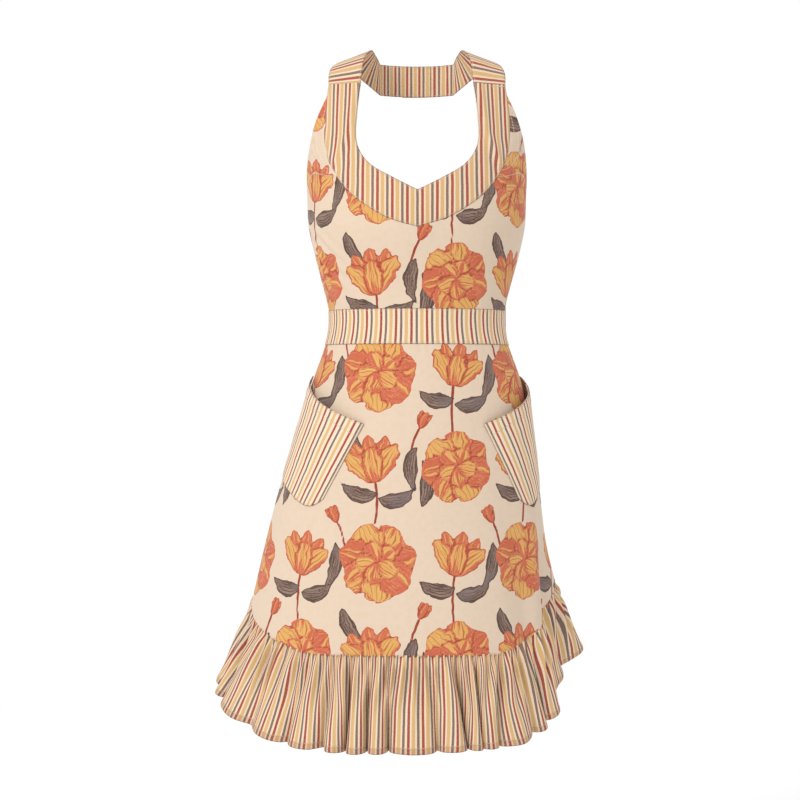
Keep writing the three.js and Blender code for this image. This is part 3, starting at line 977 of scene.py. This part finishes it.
def bow_tail(side, back, curl):
    """A hanging tail: round at its top under the knot, then widening, with a slanting cut at its end."""
    top = -knot_half_height - clearance

    def place(u, v):
        gone = tail_gone(v)
        round_top = tail_top * np.sqrt(np.clip(1 - (1 - gone / tail_top) ** 2, 0.06, 1))
        half = lerp(tail_top, sash_width / 2, ease(gone, tail_top, 0.09))
        half = np.where(gone < tail_top, round_top, half)
        bend = 0.006 * (1 - np.cos(2 * math.pi * gone / 0.24))
        wave = curl * bend * abs(2 * u - 1) ** 2 * ease(gone, 0.02, 0.2)
        fold = curl * 0.0022 * (1 + np.cos(5 * math.pi * u)) * (1 - ease(gone, 0.0, 0.13))
        cut = 0.012 * (u if side > 0 else 1 - u) * ease(gone, tail_length * 0.9, tail_length)
        return np.stack([side * tail_apart + lerp(half, -half, u), back + wave + fold, top - gone + cut], -1)

    return place


# Each tie and loop: its surface, columns, flat size, where its stripes start, and what it rests on.
sash_pieces = (
    ("waist_tie_right", tie_right, 60, (0.104, 0.048), 0.19, "waistband_cloth"),
    ("waist_tie_left", mirrored(tie_right), 60, (0.104, 0.048), 0.21, "waistband_cloth"),
    ("bow_loop_right", bow_loop(0.116, 0.012), 110, (0.262, 0.044), 0.0, "bow_knot_cloth"),
    ("bow_loop_left", mirrored(bow_loop(0.098, -0.008)), 100, (0.226, 0.044), 0.01, "bow_knot_cloth"),
)
for name, surface, columns, flat_size, start, held_by in sash_pieces:
    sash = sheet_of_cloth(
        name + "_cloth",
        columns,
        22,
        surface,
        lambda u, v, width=flat_size[0], start=start: (u * width + start, v * sash_width),
        band_rim(sash_width),
        sash_stripes,
    )
    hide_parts(name)

# Each tail: its side, how far back it hangs, and which way its edges curl.
for end, side, back, curl in (("right", 1, knot_middle - 0.0014, -1), ("left", -1, knot_middle + 0.0023, 1)):
    tail = sheet_of_cloth(
        f"bow_tail_{end}_cloth",
        24,
        130,
        bow_tail(side, back, curl),
        lambda u, v: (tail_gone(v), u * sash_width),
        lambda u, v: np.minimum(u, 1 - u) * sash_width,
        sash_stripes,
        body=f"tail_{end}",
    )
    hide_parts(f"bow_tail_{end}")


def wrapped_knot():
    """The knot: one turn of sash pulled tight round the gathered cloth, with creases that follow the turn."""
    shape = bmesh.new()
    bmesh.ops.create_uvsphere(shape, u_segments=72, v_segments=48, radius=1)
    uv = shape.loops.layers.uv.new("cloth")
    for corner in shape.verts:
        x, y, z = corner.co
        turn = math.atan2(z, y)
        across = max(-1.0, min(1.0, x))
        round_off = 0
        if abs(across) < 0.999:
            round_off = (1 - abs(across) ** 3.2) ** (1 / 2.4) / max(1e-6, math.hypot(y, z))
        crease = 1 + 0.05 * math.cos(across * 15 + 1.4 * math.sin(turn * 2)) * (1 - across**2)
        corner.co = (
            across * knot_half_width,
            y * round_off * knot_round * crease,
            z * round_off * knot_half_height * crease,
        )
    for face in shape.faces:
        face.smooth = True
        for loop in face.loops:
            x, y, z = loop.vert.co
            loop[uv].uv = (math.atan2(z, y) * 0.013, x)
    bmesh.ops.translate(shape, verts=shape.verts, vec=(0, figure_middle + knot_middle, waist_height))
    mesh = bpy.data.meshes.new("bow_knot_cloth")
    shape.to_mesh(mesh)
    shape.free()
    mesh.attributes.new("rim", "FLOAT", "POINT").data.foreach_set("value", np.full(len(mesh.vertices), 0.1))
    mesh.materials.append(sash_stripes.material)
    knot = bpy.data.objects.new("bow_knot_cloth", mesh)
    bpy.context.scene.collection.objects.link(knot)
    return knot


knot = wrapped_knot()
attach(knot, "apron")
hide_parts("bow_knot")


# -------------------------------------------------------------------------------- skirt
# One printed panel wraps from side to side. Its lower corners are rounded, its side edges are hemmed, and its
# top is eased into the waistband.
corner_start, corner_rise = 35, 0.100


def seam_height_at(angle):
    """Height of the seam between skirt and flounce, which climbs round the corners."""
    past = np.maximum(0, abs(angle) - corner_start) / (side_edge - corner_start)
    return hem_height + corner_rise * past**1.3


def skirt_place(u, v):
    way = 2 * u - 1
    return lerp(side_edge, waist_wrap, v) * way, lerp(seam_height_at(side_edge * way), -band_edge + 0.006, v)


def skirt_flat(u, v):
    angle, height = skirt_place(u, v)
    return way_round(angle, height), height


def skirt_rim(u, v):
    angle, height = skirt_place(u, v)
    edge_angle, _ = skirt_place(np.where(u < 0.5, 0.0, 1.0), v)
    return abs(way_round(edge_angle, height) - way_round(angle, height))


def skirt_surface(u, v):
    turned_under = -0.0008 * (1 - ease(v, 0.0, 0.008))
    return on_figure(*skirt_place(u, v), 0.0012 + hem(skirt_rim(u, v)) + turned_under)


skirt = sheet_of_cloth(
    "skirt_cloth",
    290,
    168,
    skirt_surface,
    skirt_flat,
    skirt_rim,
    floral_cotton,
    floral_wrong_side,
    lambda u, v: floral(skirt_flat(u, v)),
)
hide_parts("skirt")


# -------------------------------------------------------------------------------- pockets
# Slanted striped patch pockets with rounded bottom corners are stitched to the skirt on three sides. The
# mouth dips, stands open and has a stitched hem, and the stripes run down from it.
pocket_width, pocket_depth, pocket_tilt, pocket_round = 0.134, 0.146, math.radians(30), 0.026
pocket_reach, pocket_drop, skirt_turn = 0.084, 0.112, 0.010
mouth_dip, mouth_gape, mouth_hem = 0.008, 0.012, 0.014
pocket_stripes = striped("striped_cotton_pockets", (0.0024,), mouth_row=0.021, bold=0.74, tone=0.03)


def pocket_flat(u, v):
    dip = mouth_dip * np.sin(math.pi * u)
    end = pocket_depth - pocket_round * abs(2 * u - 1) ** 6
    return pocket_width * u, lerp(end, dip, v)


def pocket_surface(side, lift):
    def place(u, v):
        across = u if side > 0 else 1 - u
        along, down = pocket_flat(across, v)
        x = pocket_reach + along * math.cos(pocket_tilt) + down * math.sin(pocket_tilt)
        z = -band_edge - pocket_drop + along * math.sin(pocket_tilt) - down * math.cos(pocket_tilt)
        gape = mouth_gape * np.sin(math.pi * u) * v**1.2
        pucker = 0.0006 * rough(u * 9 + side * 5, v * 9, 31) * ease(np.minimum(u, 1 - u), 0, 0.1)
        return on_figure(angle_at(side * x + skirt_turn, z), z, lift(u, v) + gape + pucker)

    return place


def pocket_pattern(u, v):
    across, depth = pocket_flat(u, v)
    return 0.0035 - across, depth


def pocket_rim(u, v):
    sides = np.minimum(u, 1 - u) * pocket_width
    return np.minimum(sides, np.minimum(v, 1 - v) * (pocket_depth - mouth_dip))


def pocket_lift(u, v):
    mouth = (1 - v) * pocket_depth
    edge = np.minimum(np.minimum(u, 1 - u) * pocket_width, v * pocket_depth)
    return 0.0030 + 0.0006 * (1 - ease(mouth, 0.016, 0.019)) + rolled(edge, 0.0018, 0.0008)


def mouth_facing(side):
    """The turned-in hem behind the middle of a pocket's mouth."""
    inner = pocket_surface(side, lambda u, v: np.full(len(u), 0.0020))
    return lambda u, v: inner(lerp(2 / 14, 12 / 14, u), lerp(0.9, 1.0, v))


for side, end in ((-1, "left"), (1, "right")):
    pocket = sheet_of_cloth(
        f"pocket_{end}_cloth",
        70,
        76,
        pocket_surface(side, pocket_lift),
        lambda u, v, side=side: pocket_pattern(u if side > 0 else 1 - u, v),
        pocket_rim,
        pocket_stripes,
        wrong_side,
    )
    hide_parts(f"pocket_{end}")

    facing = sheet_of_cloth(
        f"pocket_facing_{end}_cloth",
        50,
        8,
        mouth_facing(side),
        lambda u, v: (u * 0.096, v * mouth_hem),
        band_rim(mouth_hem),
        lining,
    )
    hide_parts(f"pocket_facing_{end}")


# -------------------------------------------------------------------------------- flounce
# A striped strip twice as long as the skirt's lower edge is gathered onto it. The gathers open into round
# folds, and the strip's own lower edge has a narrow stitched hem.
flounce_height, flounce_end_height = 0.131, 0.112
flounce_stripes = striped("striped_cotton_flounce", (0.0085,), shaded_hem_depth=0.0088, tone=0.09)
seam_angles = np.linspace(-side_edge, side_edge, 4000)
seam_line = figure_point(seam_angles, seam_height_at(seam_angles))
seam_ways = np.concatenate([[0], np.cumsum(np.linalg.norm(np.diff(seam_line, axis=0), axis=1))])
seam_length = seam_ways[-1]


def fold_turn(way, gone):
    """The turn of the folds along the seam. Each fold has its own width and lean."""
    lean = (0.013 * rough(way / 0.055, way * 0, 43) + 0.006 * rough(way / 0.030, way * 0, 47)) * gone**1.3
    way = way + lean
    uneven = 0.62 * rough(way / 0.070, way * 0, 41) + 0.16 * rough(way / 0.025, way * 0, 46)
    return 2 * math.pi * (way / 0.0375 + uneven)


def fold_size(way):
    return 0.0114 * (1 + 0.40 * rough(way / 0.040, way * 0, 42))


def fold_shape(turn):
    """Broad round fronts with narrow pinched valleys between them: from 1 in front to -1 behind."""
    return 2 * (0.5 + 0.5 * np.cos(turn)) ** 0.56 - 1


def flounce_parts(way):
    """Where the seam is, and the directions that the flounce hangs and stands out in."""
    angle = np.interp(way, seam_ways, seam_angles)
    height = seam_height_at(angle)
    ahead, behind = angle + 0.5, angle - 0.5
    along = unit(figure_point(ahead, seam_height_at(ahead)) - figure_point(behind, seam_height_at(behind)))
    upright = unit(figure_point(angle, height + 0.001) - figure_point(angle, height - 0.001))
    out = unit(np.cross(figure_point(angle + 0.5, height) - figure_point(angle - 0.5, height), upright))
    down = unit(np.cross(along, out))
    down = down * np.where(down[:, 2:] > 0, -1, 1)
    hanging = np.reshape(0.55 * ease(angle, 30, 60) * (1 - 0.6 * ease(angle, 78, 90)), (-1, 1))
    return angle, height, along, out, unit(lerp(down, -upright, hanging))


def flounce_point(way, gone):
    angle, height, along, out, down = flounce_parts(way)
    full = lerp(flounce_height, flounce_end_height, ease(abs(angle), corner_start, side_edge))
    turn, size = fold_turn(way, gone), fold_size(way)
    deep = size * (0.06 + 0.94 * gone**0.8)
    shape = fold_shape(turn)
    small_turn = 2 * math.pi * (way / 0.0165 + 0.7 * rough(way / 0.032, gone * 1.5, 48))
    small = 0.0044 * ease(gone, 0.0, 0.18) * (1 - ease(gone, 0.3, 0.85)) * np.cos(small_turn)
    tiny_turn = 2 * math.pi * way / 0.0082 + 3 * rough(way / 0.02, gone * 2, 44)
    tiny = 0.0022 * np.exp(-gone * 6) * np.sin(tiny_turn)
    raised = (0.0045 * (0.5 - 0.5 * shape) + 0.004 * rough(way / 0.05, way * 0, 45)) * gone
    edge = gone * full
    lift = -0.0006 + hem(full - edge, 0.009) + 0.004 * gone
    return (
        on_figure(angle, height + 0.002)
        + down * np.reshape(edge - raised, (-1, 1))
        + out * np.reshape(deep * shape + small + tiny + lift, (-1, 1))
        + along * np.reshape(0.30 * deep * np.sin(turn), (-1, 1))
    )


# The cloth used up to each point of the lower edge, and the same evened out, which is where its threads start
# at the seam. So the cloth isn't stretched over its folds.
hem_steps = np.linalg.norm(np.diff(flounce_point(seam_ways, np.ones(len(seam_ways))), axis=0), axis=1)
cloth_used = np.concatenate([[0], np.cumsum(hem_steps)])
reach = 180
padded = np.pad(cloth_used, reach, mode="reflect", reflect_type="odd")
cloth_evened = np.convolve(padded, np.ones(2 * reach + 1) / (2 * reach + 1), "valid")


def flounce_surface(u, v):
    at_seam = u * seam_length
    at_hem = np.interp(np.interp(at_seam, seam_ways, cloth_evened), cloth_used, seam_ways)
    return flounce_point(lerp(at_seam, at_hem, ease(1 - v, 0, 0.6)), 1 - v)


def flounce_flat(u, v):
    return -np.interp(u * seam_length, seam_ways, cloth_evened), v * flounce_height


flounce = sheet_of_cloth(
    "flounce_cloth",
    820,
    46,
    flounce_surface,
    flounce_flat,
    lambda u, v: v * flounce_height,
    flounce_stripes,
    wrong_side,
)
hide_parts("flounce")


# -------------------------------------------------------------------------------- floor and light
# A plain pale floor lies under the apron, in an even white surround. One large soft light shines from the
# front, the left and above.
def pale_floor():
    shape = bmesh.new()
    bmesh.ops.create_circle(shape, cap_ends=True, segments=96, radius=3.0)
    bmesh.ops.translate(shape, verts=shape.verts, vec=(0, figure_middle, cad_box[0][2] - 0.35))
    mesh = bpy.data.meshes.new("floor")
    shape.to_mesh(mesh)
    shape.free()
    paint = bpy.data.materials.new("pale_floor")
    paint.use_nodes = True
    surface = paint.node_tree.nodes["Principled BSDF"]
    surface.inputs["Base Color"].default_value = (0.96, 0.96, 0.96, 1)
    surface.inputs["Roughness"].default_value = 1.0
    surface.inputs["Specular IOR Level"].default_value = 0.0
    mesh.materials.append(paint)
    floor = bpy.data.objects.new("floor", mesh)
    bpy.context.scene.collection.objects.link(floor)


pale_floor()

world = bpy.data.worlds.new("surround")
world.use_nodes = True
world.node_tree.nodes["Background"].inputs["Color"].default_value = (1, 1, 1, 1)
world.node_tree.nodes["Background"].inputs["Strength"].default_value = 1.0
bpy.context.scene.world = world


lamp = bpy.data.objects.new("key_light", bpy.data.lights.new("key_light", "AREA"))
lamp.data.size = 0.9
lamp.data.energy = 58
lamp.location = (-1.7, -2.7, 1.3)
aim = Vector((0, figure_middle, waist_height)) - lamp.location
lamp.rotation_euler = aim.to_track_quat("-Z", "Y").to_euler()
bpy.context.scene.collection.objects.link(lamp)

bpy.context.scene.view_settings.view_transform = "Standard"
